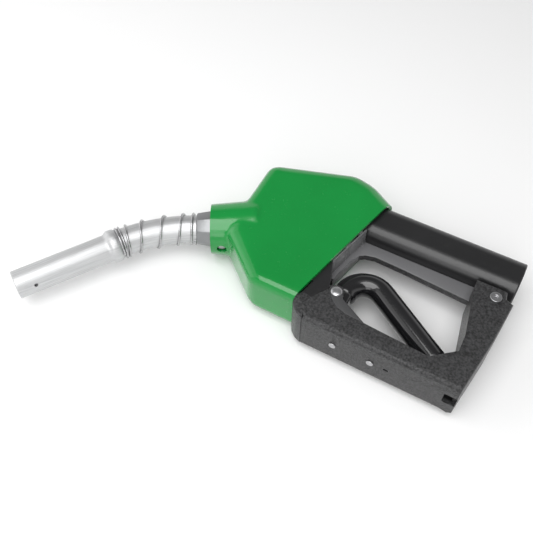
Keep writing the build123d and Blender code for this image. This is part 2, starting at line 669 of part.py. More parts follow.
ARCH_CORNER_X = LEVER_ARCH[0] - LEVER_ARCH_R
SLOPE = math.radians(LEVER_SLOPE)
SLOPE_START = (LEVER_ARCH[0] + LEVER_ARCH_R * math.sin(SLOPE), LEVER_ARCH[1] + LEVER_ARCH_R * math.cos(SLOPE))
ARCH_CORNER_Y = SLOPE_START[1] + (SLOPE_START[0] - ARCH_CORNER_X) * math.tan(SLOPE)


def lever_line(start_points, radii, length):
    """Lever's centre line: the points given, over the arch and down the slope."""
    end_x = SLOPE_START[0] + length * math.cos(SLOPE)
    end_y = SLOPE_START[1] - length * math.sin(SLOPE)
    points = start_points + [(ARCH_CORNER_X, ARCH_CORNER_Y), (end_x, end_y)]
    return FilletPolyline(*points, radius=radii + [LEVER_ARCH_R])


def lever_core():
    """Forged aluminium lever: a heel at its pivot and a rising arm inside the sleeve."""
    heel_points = [(TRIP_X, LEVER_PIVOT_Y), (ARCH_CORNER_X, LEVER_PIVOT_Y)]
    line = lever_line(heel_points, [7.0], LEVER_STRAIGHT)
    start = Plane(line @ 0, x_dir=(0, 0, 1), z_dir=line % 0)
    core = sweep(start * Rectangle(2 * LEVER_CORE_HALF_WIDTH, 2 * LEVER_CORE_HALF_HEIGHT), line)
    side = LEVER_CORE_HALF_WIDTH
    core += bar_z(TRIP_X, LEVER_PIVOT_Y, -side, side, LEVER_CORE_HALF_HEIGHT)
    return core - bar_z(TRIP_X, LEVER_PIVOT_Y, -8, 8, LEVER_PIN_R + RUNNING_GAP)


def lever_sleeve():
    """Thick vinyl sleeve over the part of the lever that the fingers squeeze."""
    line = lever_line([(ARCH_CORNER_X, -75.0)], [], LEVER_STRAIGHT + 2)
    start = Plane(line @ 0, x_dir=(0, 0, 1), z_dir=line % 0)
    sleeve = sweep(start * Circle(LEVER_SLEEVE_R), line)
    line = lever_line([(ARCH_CORNER_X, -76.0)], [], LEVER_STRAIGHT + 0.1)
    start = Plane(line @ 0, x_dir=(0, 0, 1), z_dir=line % 0)
    width = 2 * LEVER_CORE_HALF_WIDTH + 0.1
    height = 2 * LEVER_CORE_HALF_HEIGHT + 0.1
    return sleeve - sweep(start * Rectangle(width, height), line)


MODEL = {
    "body_casting": body_casting,
    "body_cap": body_cap,
    "body_cap_seal": body_cap_seal,
    "valve_seat": valve_seat,
    "stem_packing": stem_packing,
    "packing_nut": packing_nut,
    "main_stem": main_stem,
    "poppet": poppet,
    "poppet_disc": poppet_disc,
    "main_spring": main_spring,
    "diaphragm": diaphragm,
    "vacuum_cap": vacuum_cap,
    "cap_screws": cap_screws,
    "diaphragm_spring": diaphragm_spring,
    "latch_pin": latch_pin,
    "latch_ring": latch_ring,
    "latch_balls": latch_balls,
    "trip_stem": trip_stem,
    "trip_gland": trip_gland,
    "trip_spring": trip_spring,
    "lever_pin": lever_pin,
    "body_cover": body_cover,
    "spout_nut": spout_nut,
    "spout_screw": spout_screw,
    "spout_seal": spout_seal,
    "spout_tube": spout_tube,
    "vent_tube": vent_tube,
    "venturi_body": venturi_body,
    "check_poppet": check_poppet,
    "check_guide": check_guide,
    "check_spring": check_spring,
    "anchor_spring": anchor_spring,
    "hand_grip": hand_grip,
    "front_cheeks": front_cheeks,
    "lever_guard": lever_guard,
    "guard_rivets": guard_rivets,
    "rear_screw": rear_screw,
    "rear_nut": rear_nut,
    "floor_rivets": floor_rivets,
    "hold_open_bracket": hold_open_bracket,
    "hold_open_latch": hold_open_latch,
    "hold_open_pin": hold_open_pin,
    "lever_core": lever_core,
    "lever_sleeve": lever_sleeve,
}

os.makedirs("parts", exist_ok=True)
for node, make in MODEL.items():
    export_step(make(), f"parts/{node}.step")
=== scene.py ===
import math

import bmesh
import bpy
from mathutils import Matrix, Vector


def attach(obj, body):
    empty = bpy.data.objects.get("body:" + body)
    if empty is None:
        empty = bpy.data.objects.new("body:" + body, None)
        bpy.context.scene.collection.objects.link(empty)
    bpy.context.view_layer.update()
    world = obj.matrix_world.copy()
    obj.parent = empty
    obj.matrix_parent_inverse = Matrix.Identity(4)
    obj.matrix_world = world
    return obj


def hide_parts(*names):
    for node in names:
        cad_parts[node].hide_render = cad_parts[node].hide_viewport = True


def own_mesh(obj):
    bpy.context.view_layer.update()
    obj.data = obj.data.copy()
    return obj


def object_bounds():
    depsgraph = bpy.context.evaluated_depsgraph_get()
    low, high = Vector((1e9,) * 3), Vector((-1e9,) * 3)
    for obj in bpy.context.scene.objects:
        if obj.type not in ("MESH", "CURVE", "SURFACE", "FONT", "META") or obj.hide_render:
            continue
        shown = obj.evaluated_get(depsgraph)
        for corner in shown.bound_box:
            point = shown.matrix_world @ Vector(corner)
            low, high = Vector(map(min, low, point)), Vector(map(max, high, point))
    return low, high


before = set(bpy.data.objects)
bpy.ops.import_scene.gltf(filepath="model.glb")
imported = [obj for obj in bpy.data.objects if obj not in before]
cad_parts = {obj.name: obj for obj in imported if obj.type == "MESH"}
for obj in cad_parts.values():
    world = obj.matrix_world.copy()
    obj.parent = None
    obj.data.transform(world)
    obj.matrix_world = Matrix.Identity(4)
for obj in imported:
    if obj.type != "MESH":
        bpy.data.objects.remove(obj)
cad_low, cad_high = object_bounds()
scene = bpy.context.scene

# ---------------------------------------------------------------- camera
# Looks down at the nozzle, which lies on its side, from below the lever; the
# spout points to the left and the hose's end to the right.
camera_data = bpy.data.cameras.new("studio_camera")
camera_data.lens = 47.28
camera_data.sensor_width = 36.0
camera = bpy.data.objects.new("studio_camera", camera_data)
scene.collection.objects.link(camera)
camera.location = (-0.0234, -0.3792, 0.4719)
looked_at = Vector((-0.1896, -0.0793, 0.0))
camera.rotation_euler = (looked_at - camera.location).to_track_quat("-Z", "Y").to_euler()
scene.camera = camera

# ---------------------------------------------------------------- studio
# White table under a light tent: bright at the horizon, dim half way up so that
# glossy flats keep their colour, with a soft box overhead and two at the sides.
scene.view_settings.view_transform = "Standard"

table_material = bpy.data.materials.new("white_table")
table_material.use_nodes = True
table_nodes = table_material.node_tree.nodes
table_links = table_material.node_tree.links
table_shader = table_nodes["Principled BSDF"]
table_shader.inputs["Specular IOR Level"].default_value = 0.1
table_coords = table_nodes.new("ShaderNodeTexCoord")
table_noise = table_nodes.new("ShaderNodeTexNoise")
table_noise.inputs["Scale"].default_value = 3.0
table_tone = table_nodes.new("ShaderNodeValToRGB")
table_tone.color_ramp.elements[0].color = (0.90, 0.90, 0.90, 1)
table_tone.color_ramp.elements[1].color = (0.93, 0.93, 0.93, 1)
table_links.new(table_coords.outputs["Object"], table_noise.inputs["Vector"])
table_links.new(table_noise.outputs["Fac"], table_tone.inputs["Fac"])
table_links.new(table_tone.outputs["Color"], table_shader.inputs["Base Color"])
table_shader.inputs["Roughness"].default_value = 0.7

TABLE_SIZE = 6.0
TABLE_MIDDLE = (-0.18, -0.04)
table_mesh = bmesh.new()
bmesh.ops.create_grid(table_mesh, x_segments=1, y_segments=1, size=TABLE_SIZE / 2)
bmesh.ops.translate(table_mesh, vec=(*TABLE_MIDDLE, cad_low.z), verts=table_mesh.verts)
table_data = bpy.data.meshes.new("studio_table")
table_mesh.to_mesh(table_data)
table_mesh.free()
table_data.materials.append(table_material)
studio_table = bpy.data.objects.new("studio_table", table_data)
scene.collection.objects.link(studio_table)

tent = bpy.data.worlds.new("light_tent")
tent.use_nodes = True
tent_nodes = tent.node_tree.nodes
tent_links = tent.node_tree.links
tent_way = tent_nodes.new("ShaderNodeTexCoord")
tent_split = tent_nodes.new("ShaderNodeSeparateXYZ")
tent_tone = tent_nodes.new("ShaderNodeValToRGB")
# Height in the tent, 0 at the horizon and 1 overhead, and how bright it is there.
TENT_BANDS = ((0.0, 1.0), (0.42, 0.9), (0.62, 0.22), (0.93, 0.28), (1.0, 1.2))
while len(tent_tone.color_ramp.elements) < len(TENT_BANDS):
    tent_tone.color_ramp.elements.new(0.5)
for element, (height, level) in zip(tent_tone.color_ramp.elements, TENT_BANDS):
    element.position = height
    element.color = (level, level, level, 1)
tent_links.new(tent_way.outputs["Generated"], tent_split.inputs["Vector"])
tent_links.new(tent_split.outputs["Z"], tent_tone.inputs["Fac"])
tent_links.new(tent_tone.outputs["Color"], tent_nodes["Background"].inputs["Color"])
tent_nodes["Background"].inputs["Strength"].default_value = 0.85
scene.world = tent


def soft_box(name, location, target, size, watts):
    """Square area light that points at target."""
    light = bpy.data.lights.new(name, "AREA")
    light.size = size
    light.energy = watts
    lamp = bpy.data.objects.new(name, light)
    lamp.location = location
    lamp.rotation_euler = (Vector(target) - Vector(location)).to_track_quat("-Z", "Y").to_euler()
    scene.collection.objects.link(lamp)


soft_box("top_box", (-0.12, -0.55, 1.15), (-0.18, -0.05, 0), size=1.1, watts=13.0)
soft_box("side_box", (-1.0, -0.2, 0.45), (-0.25, -0.05, 0), size=1.1, watts=3.0)
soft_box("front_box", (0.1, -1.1, 0.6), (-0.18, -0.05, 0), size=0.6, watts=2.0)


# ---------------------------------------------------------------- valve casting
# Sand-cast aluminium body with its two turned caps and their screws. The cover
# and the grip hide nearly all of it.
def effect_group(name, inputs, outputs):
    """Empty shader node group with named sockets."""
    group = bpy.data.node_groups.new(name, "ShaderNodeTree")
    for socket, kind, value in inputs:
        made = group.interface.new_socket(socket, in_out="INPUT", socket_type=kind)
        if value is not None:
            made.default_value = value
    for socket, kind in outputs:
        group.interface.new_socket(socket, in_out="OUTPUT", socket_type=kind)
    start = group.nodes.new("NodeGroupInput")
    end = group.nodes.new("NodeGroupOutput")
    return group, start, end


# Handling marks: soft cloudy patches and fine scuffs, as one mask.
scuff_group, scuff_in, scuff_out = effect_group(
    "handling_scuffs",
    [("Vector", "NodeSocketVector", None), ("Cloud Scale", "NodeSocketFloat", 30.0),
     ("Scuff Scale", "NodeSocketFloat", 300.0)],
    [("Clouds", "NodeSocketFloat"), ("Scuffs", "NodeSocketFloat")],
)
clouds = scuff_group.nodes.new("ShaderNodeTexNoise")
clouds.inputs["Detail"].default_value = 4.0
scuffs = scuff_group.nodes.new("ShaderNodeTexNoise")
scuffs.inputs["Detail"].default_value = 6.0
scuffs.inputs["Distortion"].default_value = 1.5
scuff_range = scuff_group.nodes.new("ShaderNodeMapRange")
scuff_range.inputs["From Min"].default_value = 0.56
scuff_range.inputs["From Max"].default_value = 0.72
scuff_group.links.new(scuff_in.outputs["Vector"], clouds.inputs["Vector"])
scuff_group.links.new(scuff_in.outputs["Cloud Scale"], clouds.inputs["Scale"])
scuff_group.links.new(scuff_in.outputs["Vector"], scuffs.inputs["Vector"])
scuff_group.links.new(scuff_in.outputs["Scuff Scale"], scuffs.inputs["Scale"])
scuff_group.links.new(clouds.outputs["Fac"], scuff_out.inputs["Clouds"])
scuff_group.links.new(scuffs.outputs["Fac"], scuff_range.inputs["Value"])
scuff_group.links.new(scuff_range.outputs["Result"], scuff_out.inputs["Scuffs"])


def finish(name, dark, light, roughness, metallic=0.0, grain=0.0, grain_scale=900.0, coat=0.0,
           cloud_scale=30.0, scuff_scale=300.0, contrast=0.5):
    """Principled material: two tones in clouds, roughness that follows scuffs, grain as bump."""
    material = bpy.data.materials.new(name)
    material.use_nodes = True
    nodes = material.node_tree.nodes
    links = material.node_tree.links
    shader = nodes["Principled BSDF"]
    shader.inputs["Metallic"].default_value = metallic
    coords = nodes.new("ShaderNodeTexCoord")
    marks = nodes.new("ShaderNodeGroup")
    marks.node_tree = scuff_group
    marks.inputs["Cloud Scale"].default_value = cloud_scale
    marks.inputs["Scuff Scale"].default_value = scuff_scale
    links.new(coords.outputs["Object"], marks.inputs["Vector"])
    tone = nodes.new("ShaderNodeMix")
    tone.data_type = "RGBA"
    tone.inputs["A"].default_value = (*dark, 1)
    tone.inputs["B"].default_value = (*light, 1)
    spread = nodes.new("ShaderNodeMapRange")
    spread.inputs["From Min"].default_value = 0.5 - contrast
    spread.inputs["From Max"].default_value = 0.5 + contrast
    links.new(marks.outputs["Clouds"], spread.inputs["Value"])
    links.new(spread.outputs["Result"], tone.inputs["Factor"])
    links.new(tone.outputs["Result"], shader.inputs["Base Color"])
    rough = nodes.new("ShaderNodeMapRange")
    rough.inputs["To Min"].default_value = roughness[0]
    rough.inputs["To Max"].default_value = roughness[1]
    links.new(marks.outputs["Scuffs"], rough.inputs["Value"])
    links.new(rough.outputs["Result"], shader.inputs["Roughness"])
    if coat:
        shader.inputs["Coat Weight"].default_value = coat
        shader.inputs["Coat Roughness"].default_value = 0.08
    if grain:
        speckle = nodes.new("ShaderNodeTexNoise")
        speckle.inputs["Scale"].default_value = grain_scale
        speckle.inputs["Detail"].default_value = 3.0
        links.new(coords.outputs["Object"], speckle.inputs["Vector"])
        bump = nodes.new("ShaderNodeBump")
        bump.inputs["Strength"].default_value = grain
        bump.inputs["Distance"].default_value = 0.0004
        links.new(speckle.outputs["Fac"], bump.inputs["Height"])
        links.new(bump.outputs["Normal"], shader.inputs["Normal"])
    return material


def dress(nodes, material):
    """Gives CAD nodes that already have the right shape their finish."""
    for node in nodes:
        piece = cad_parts[node]
        piece.data.materials.clear()
        piece.data.materials.append(material)


cast_aluminium = finish("cast_aluminium", (0.42, 0.43, 0.44), (0.60, 0.61, 0.62), (0.45, 0.6),
                        metallic=1.0, grain=0.5, grain_scale=1400.0)
dress(["body_casting", "body_cap", "vacuum_cap", "venturi_body", "lever_core"],
      cast_aluminium)

# ---------------------------------------------------------------- valve gear
# Turned stainless stems, balls and rings, brass seat and gland, drawn springs
# and moulded rubber seals, stacked on the casting's two upright axes.
turned_steel = finish("turned_steel", (0.55, 0.55, 0.56), (0.70, 0.70, 0.71), (0.22, 0.38),
                      metallic=1.0, grain=0.15, grain_scale=2500.0)
spring_steel = finish("spring_steel", (0.34, 0.34, 0.345), (0.56, 0.56, 0.57), (0.18, 0.32),
                      metallic=1.0)
turned_brass = finish("turned_brass", (0.58, 0.42, 0.18), (0.72, 0.56, 0.27), (0.25, 0.4),
                      metallic=1.0)
seal_rubber = finish("seal_rubber", (0.012, 0.012, 0.012), (0.03, 0.03, 0.03), (0.5, 0.7),
                     grain=0.3)
dress(["main_stem", "latch_pin", "latch_ring", "latch_balls", "trip_stem", "lever_pin", "vent_tube",
       "check_poppet", "check_guide", "cap_screws"], turned_steel)

MM = 0.001
SEAM_GAP = 0.00002
FLAT_ANGLE = math.radians(0.5)


def place_piece(name, mesh, material, body, stands_for):
    """Finishes a bmesh drawn in millimetres as a piece that rides on a body."""
    bmesh.ops.scale(mesh, vec=(MM, MM, MM), verts=mesh.verts)
    data = bpy.data.meshes.new(name)
    mesh.to_mesh(data)
    mesh.free()
    data.materials.append(material)
    piece = bpy.data.objects.new(name, data)
    scene.collection.objects.link(piece)
    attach(piece, body)
    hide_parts(*stands_for)
    return piece


def shade_by_angle(mesh, degrees):
    """Smooth faces, with creases where they meet at more than the angle."""
    for face in mesh.faces:
        face.smooth = True
    for edge in mesh.edges:
        edge.smooth = edge.calc_face_angle(0.0) < math.radians(degrees)


def softened(node, name, material, body, width, angle=30.0, segments=3):
    """Copy of a CAD node with merged faces, its edges sharper than angle broken by width mm."""
    mesh = bmesh.new()
    mesh.from_mesh(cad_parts[node].data)
    bmesh.ops.remove_doubles(mesh, verts=mesh.verts, dist=SEAM_GAP)
    bmesh.ops.dissolve_limit(mesh, angle_limit=FLAT_ANGLE, verts=mesh.verts, edges=mesh.edges)
    shade_by_angle(mesh, angle)
    bmesh.ops.scale(mesh, vec=(1 / MM, 1 / MM, 1 / MM), verts=mesh.verts)
    piece = place_piece(name, mesh, material, body, [node])
    round_over = piece.modifiers.new("round_over", "BEVEL")
    round_over.width = width * MM
    round_over.segments = segments
    round_over.limit_method = "ANGLE"
    round_over.angle_limit = math.radians(angle)
    round_over.harden_normals = False
    return piece


# Each spring is a softened copy of its CAD node; the table lists node, joint, axis, fixed end,
# and the share of its length left at the joint's limit, though only the node is used here.
SPRINGS = (("main_spring", "valve_lift", (0, 1, 0), (-145.0, 18.5, 0.0), 0.77),
           ("diaphragm_spring", "vacuum_lift", (0, 1, 0), (-178.0, 8.4, 0.0), 0.71),
           ("trip_spring", "trip_drop", (0, 1, 0), (-178.0, -70.0, 0.0), 0.60),
           ("check_spring", "check_open", (0.878, 0.479, 0), (-242.7, -62.7, 0.0), 0.63))
for node, joint, axis, anchor, kept in SPRINGS:
    coil = softened(node, node + "_wound", spring_steel, "nozzle_body",
                    width=0.05, angle=80.0, segments=1)
    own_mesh(coil)
dress(["valve_seat", "packing_nut", "trip_gland", "poppet"], turned_brass)
dress(["body_cap_seal", "stem_packing", "poppet_disc", "diaphragm", "spout_seal"],
      seal_rubber)

# ---------------------------------------------------------------- spout
# Drawn aluminium tube: straight root, one bend, straight tip, with a ring
# swaged out of the wall where the anchor spring ends.
SPOUT_ROOT = Vector((-250.5, -67.0, 0.0))
ROOT_ANGLE = math.radians(28.6)
TIP_ANGLE = math.radians(57.4)
BEND_RADIUS = 137.0
NUT_LENGTH = 12.5
TIP_LENGTH = 90.0
SPOUT_RADIUS = 11.9
SPOUT_WALL = 1.2
SPOUT_SIDES = 64


def heading(angle):
    """Unit vector out along the spout, in the nozzle's middle plane."""
    return Vector((-math.cos(angle), -math.sin(angle), 0.0))


def underside(angle):
    """Unit vector square to the spout, towards its underside."""
    return Vector((math.sin(angle), -math.cos(angle), 0.0))


BEND_START = SPOUT_ROOT + heading(ROOT_ANGLE) * NUT_LENGTH
BEND_LENGTH = (TIP_ANGLE - ROOT_ANGLE) * BEND_RADIUS


def spout_station(distance):
    """Point on the spout's centre line at a distance from the mouth, and its angle there."""
    along = distance - NUT_LENGTH
    share = max(0.0, min(1.0, along / BEND_LENGTH))
    angle = ROOT_ANGLE + share * (TIP_ANGLE - ROOT_ANGLE)
    centre = BEND_START + underside(ROOT_ANGLE) * BEND_RADIUS
    point = centre - underside(angle) * BEND_RADIUS + heading(angle) * (along - share * BEND_LENGTH)
    return point, angle


SWAGE_CENTRE = NUT_LENGTH + BEND_LENGTH + 4.5
SWAGE_RISE = 2.3
SWAGE_FLAT = 2.0
SWAGE_END = 6.0


def swage_profile(distance):
    """How far the swaged ring stands out at a distance along the spout."""
    off = abs(distance - SWAGE_CENTRE)
    if off < SWAGE_FLAT:
        return SWAGE_RISE
    if off < SWAGE_END:
        share = (off - SWAGE_FLAT) / (SWAGE_END - SWAGE_FLAT)
        return SWAGE_RISE * (0.5 + 0.5 * math.cos(math.pi * share))
    return 0.0


def bridge_rings(mesh, rings):
    """Joins each ring of vertices to the next one with a band of faces."""
    for pair in zip(rings, rings[1:]):
        edges = [mesh.edges.get((ring[n - 1], vert)) for ring in pair for n, vert in enumerate(ring)]
        bmesh.ops.bridge_loops(mesh, edges=edges)


SPOUT_LENGTH = NUT_LENGTH + BEND_LENGTH + TIP_LENGTH
SPOUT_LEAD = 22.0
SPOUT_RING_STEP = 1.5
# The tip's rounded lip: distance back from the end and change of radius there.
SPOUT_LIP = ((0.8, 0.0), (0.25, -0.15), (0.0, -0.45))


def spout_shell():
    """Tube swept along the spout, ring by ring, then given its wall."""
    mesh = bmesh.new()
    run = mesh.loops.layers.uv.new("run")
    stations = []
    distance = -SPOUT_LEAD
    while distance < SPOUT_LENGTH - SPOUT_LIP[0][0]:
        stations.append((distance, 0.0))
        distance += SPOUT_RING_STEP
    stations += [(SPOUT_LENGTH - back, change) for back, change in SPOUT_LIP]
    rings = []
    along_of = {}
    around_of = {}
    for distance, change in stations:
        point, angle = spout_station(distance)
        turn = Matrix((underside(angle), Vector((0, 0, 1)), heading(angle))).transposed().to_4x4()
        made = bmesh.ops.create_circle(mesh, segments=SPOUT_SIDES,
                                       radius=SPOUT_RADIUS + swage_profile(distance) + change,
                                       matrix=Matrix.Translation(point) @ turn)
        rings.append(made["verts"])
        for n, vert in enumerate(made["verts"]):
            along_of[vert] = distance
            around_of[vert] = n / SPOUT_SIDES
    bridge_rings(mesh, rings)
    for face in mesh.faces:
        arounds = [around_of[loop.vert] for loop in face.loops]
        wraps = max(arounds) - min(arounds) > 0.5
        for loop, around in zip(face.loops, arounds):
            loop[run].uv = (around + (1 if wraps and around < 0.5 else 0), along_of[loop.vert] * 0.01)
    bmesh.ops.recalc_face_normals(mesh, faces=mesh.faces)
    bmesh.ops.solidify(mesh, geom=mesh.faces[:], thickness=SPOUT_WALL)
    return mesh


# Bright drawn aluminium: streaks along the tube, cloudy lustre, dull handling marks.
spout_aluminium = bpy.data.materials.new("spout_aluminium")
spout_aluminium.use_nodes = True
spout_nodes = spout_aluminium.node_tree.nodes
spout_links = spout_aluminium.node_tree.links
spout_shader = spout_nodes["Principled BSDF"]
spout_shader.inputs["Metallic"].default_value = 1.0
spout_run = spout_nodes.new("ShaderNodeUVMap")
spout_run.uv_map = "run"
spout_stretch = spout_nodes.new("ShaderNodeMapping")
spout_stretch.inputs["Scale"].default_value = (60.0, 2.2, 1.0)
spout_streaks = spout_nodes.new("ShaderNodeTexNoise")
spout_streaks.inputs["Scale"].default_value = 1.0
spout_streaks.inputs["Detail"].default_value = 5.0
spout_streaks.inputs["Roughness"].default_value = 0.65
spout_coords = spout_nodes.new("ShaderNodeTexCoord")
spout_marks = spout_nodes.new("ShaderNodeGroup")
spout_marks.node_tree = scuff_group
spout_marks.inputs["Cloud Scale"].default_value = 45.0
spout_marks.inputs["Scuff Scale"].default_value = 260.0
spout_tone = spout_nodes.new("ShaderNodeMix")
spout_tone.data_type = "RGBA"
spout_tone.inputs["A"].default_value = (0.34, 0.345, 0.35, 1)
spout_tone.inputs["B"].default_value = (0.82, 0.825, 0.83, 1)
spout_rough = spout_nodes.new("ShaderNodeMapRange")
spout_rough.inputs["To Min"].default_value = 0.42
spout_rough.inputs["To Max"].default_value = 0.60
spout_bump = spout_nodes.new("ShaderNodeBump")
spout_bump.inputs["Strength"].default_value = 0.25
spout_bump.inputs["Distance"].default_value = 0.0003
spout_links.new(spout_run.outputs["UV"], spout_stretch.inputs["Vector"])
spout_links.new(spout_stretch.outputs["Vector"], spout_streaks.inputs["Vector"])
spout_links.new(spout_coords.outputs["Object"], spout_marks.inputs["Vector"])
spout_links.new(spout_streaks.outputs["Fac"], spout_tone.inputs["Factor"])
spout_links.new(spout_tone.outputs["Result"], spout_shader.inputs["Base Color"])
spout_links.new(spout_marks.outputs["Clouds"], spout_rough.inputs["Value"])
spout_links.new(spout_rough.outputs["Result"], spout_shader.inputs["Roughness"])
spout_links.new(spout_streaks.outputs["Fac"], spout_bump.inputs["Height"])
spout_links.new(spout_bump.outputs["Normal"], spout_shader.inputs["Normal"])

spout_mesh = spout_shell()
shade_by_angle(spout_mesh, 40)
spout_piece = place_piece("spout_tube_drawn", spout_mesh, spout_aluminium,
                          "nozzle_body", ["spout_tube"])

# The sensing hole is drilled through the wall near the tip, 20 degrees round
# from the underside.
SENSING_FROM_TIP = 15.0
SENSING_ANGLE = math.radians(20.0)
SENSING_RADIUS = 1.6


def evaluated_mesh(piece):
    """The piece's mesh with its modifiers worked in."""
    bpy.context.view_layer.update()
    return bpy.data.meshes.new_from_object(piece.evaluated_get(bpy.context.evaluated_depsgraph_get()))


def drill(piece, tool_mesh):
    """Cuts a closed tool shape, drawn in metres, out of a piece."""
    tool_data = bpy.data.meshes.new("drill_bit")
    tool_mesh.to_mesh(tool_data)
    tool_mesh.free()
    tool = bpy.data.objects.new("drill_bit", tool_data)
    scene.collection.objects.link(tool)
    cut = piece.modifiers.new("cut", "BOOLEAN")
    cut.operation = "DIFFERENCE"
    cut.solver = "EXACT"
    cut.object = tool
    result = evaluated_mesh(piece)
    piece.modifiers.remove(cut)
    piece.data = result
    bpy.data.objects.remove(tool)


def round_tool(centre, direction, radius, length):
    """Closed cylinder in metres, from millimetre sizes."""
    mesh = bmesh.new()
    turn = direction.to_track_quat("Z", "Y").to_matrix().to_4x4()
    bmesh.ops.create_cone(mesh, cap_ends=True, segments=32, radius1=radius * MM,
                          radius2=radius * MM, depth=length * MM,
                          matrix=Matrix.Translation(centre * MM) @ turn)
    return mesh


sensing_out = underside(TIP_ANGLE) * math.cos(SENSING_ANGLE) + Vector((0, 0, math.sin(SENSING_ANGLE)))
sensing_point = spout_station(SPOUT_LENGTH - SENSING_FROM_TIP)[0] + sensing_out * SPOUT_RADIUS
drill(spout_piece, round_tool(sensing_point, sensing_out, SENSING_RADIUS, 5.0))

# ---------------------------------------------------------------- spout nut
# Machined aluminium nut with eight long flats that taper towards the spout; it
# draws the spout into the body's socket.
NUT_FLATS = 8
NUT_SPIN = math.radians(40)
NUT_BIG_RADIUS = 16.3
NUT_SMALL_RADIUS = 13.9
NUT_BORE_RADIUS = 12.05
NUT_SUNK = 3.0
NUT_EDGE = 0.9

nut_aluminium = finish("nut_aluminium", (0.20, 0.205, 0.21), (0.32, 0.325, 0.33), (0.34, 0.5),
                       metallic=0.9, grain=0.2, grain_scale=1800.0)
nut_mesh = bmesh.new()
nut_axis = heading(ROOT_ANGLE)
nut_turn = Matrix((underside(ROOT_ANGLE), Vector((0, 0, 1)), nut_axis)).transposed().to_4x4()
nut_middle = Matrix.Translation(SPOUT_ROOT + nut_axis * ((NUT_LENGTH - NUT_SUNK) / 2))
bmesh.ops.create_cone(nut_mesh, cap_ends=True, segments=NUT_FLATS, radius1=NUT_BIG_RADIUS,
                      radius2=NUT_SMALL_RADIUS, depth=NUT_LENGTH + NUT_SUNK,
                      matrix=nut_middle @ nut_turn @ Matrix.Rotation(NUT_SPIN, 4, "Z"))
bmesh.ops.bevel(nut_mesh, geom=nut_mesh.edges[:], offset=NUT_EDGE, segments=3, profile=0.5,
                material=-1, affect="EDGES")
shade_by_angle(nut_mesh, 32)
nut_piece = place_piece("spout_nut_turned", nut_mesh, nut_aluminium,
                        "nozzle_body", ["spout_nut"])
drill(nut_piece, round_tool(SPOUT_ROOT + nut_axis * 5, nut_axis, NUT_BORE_RADIUS, 40.0))

# ---------------------------------------------------------------- anchor spring
# Round spring wire, wound with two close turns at the swaged ring and open
# turns behind it; it hooks the nozzle in a filler neck.
WIRE_RADIUS = 1.0
WIRE_GAP = 0.3
WIRE_START = NUT_LENGTH + 1.3
WIRE_PITCHES = (3.0, 12.0, 18.0, 18.0, 11.0, 2.6, 2.4)
WIRE_STEPS = 36
WIRE_SIDES = 12
PITCH_BLEND = 9


def wire_mesh():
    """Coil drawn as one ring of wire after another, then bridged."""
    mesh = bmesh.new()
    stations = []
    distance = WIRE_START
    coil_radius = SPOUT_RADIUS + WIRE_RADIUS + WIRE_GAP
    pitches = [pitch for pitch in WIRE_PITCHES for _ in range(WIRE_STEPS)]
    for step in range(len(pitches) + 1):
        point, angle = spout_station(distance)
        turned = 2 * math.pi * step / WIRE_STEPS
        out = underside(angle) * math.cos(turned) - Vector((0, 0, math.sin(turned)))
        stations.append((point + out * coil_radius, out))
        if step < len(pitches):
            nearby = pitches[max(0, step - PITCH_BLEND):step + PITCH_BLEND]
            distance += sum(nearby) / len(nearby) / WIRE_STEPS
    rings = []
    for step, (point, out) in enumerate(stations):
        before = stations[max(0, step - 1)][0]
        after = stations[min(len(stations) - 1, step + 1)][0]
        way = (after - before).normalized()
        across = way.cross(out).normalized()
        flat = across.cross(way)
        turn = Matrix((flat, across, way)).transposed().to_4x4()
        caps = step in (0, len(stations) - 1)
        made = bmesh.ops.create_circle(mesh, cap_ends=caps, segments=WIRE_SIDES, radius=WIRE_RADIUS,
                                       matrix=Matrix.Translation(point) @ turn)
        rings.append(made["verts"])
    bridge_rings(mesh, rings)
    bmesh.ops.recalc_face_normals(mesh, faces=mesh.faces)
    return mesh


coil_mesh = wire_mesh()
shade_by_angle(coil_mesh, 50)
place_piece("anchor_spring_wire", coil_mesh, spring_steel, "nozzle_body",
            ["anchor_spring"])

# ---------------------------------------------------------------- lever
# Cast arm in a thick dipped sleeve, which arches up from the hub and slopes down
# through the finger window; the sleeve is what the fingers squeeze.
sleeve_vinyl = finish("sleeve_vinyl", (0.006, 0.006, 0.007), (0.012, 0.012, 0.013), (0.16, 0.26),
                      grain=0.08, grain_scale=500.0, coat=0.6)
ARCH_CENTRE = Vector((-103.0, -73.0, 0.0))
ARCH_RADIUS = 17.5
SLOPE_ANGLE = math.radians(32.3)
SLEEVE_RADIUS = 9.9
SLEEVE_STRAIGHT = 72.0
SLEEVE_LEAD = 5.0
SLEEVE_END_ROUND = 4.5
SLEEVE_BANDS = 120


def lever_station(distance):
    """Point on the sleeve's centre line and the way it runs: up, over the arch, down the slope."""
    turned = min(max(distance / ARCH_RADIUS, 0.0), math.pi / 2 + SLOPE_ANGLE)
    out = Vector((-math.cos(turned), math.sin(turned), 0))
    way = Vector((math.sin(turned), math.cos(turned), 0))
    return ARCH_CENTRE + out * ARCH_RADIUS + way * (distance - turned * ARCH_RADIUS), way


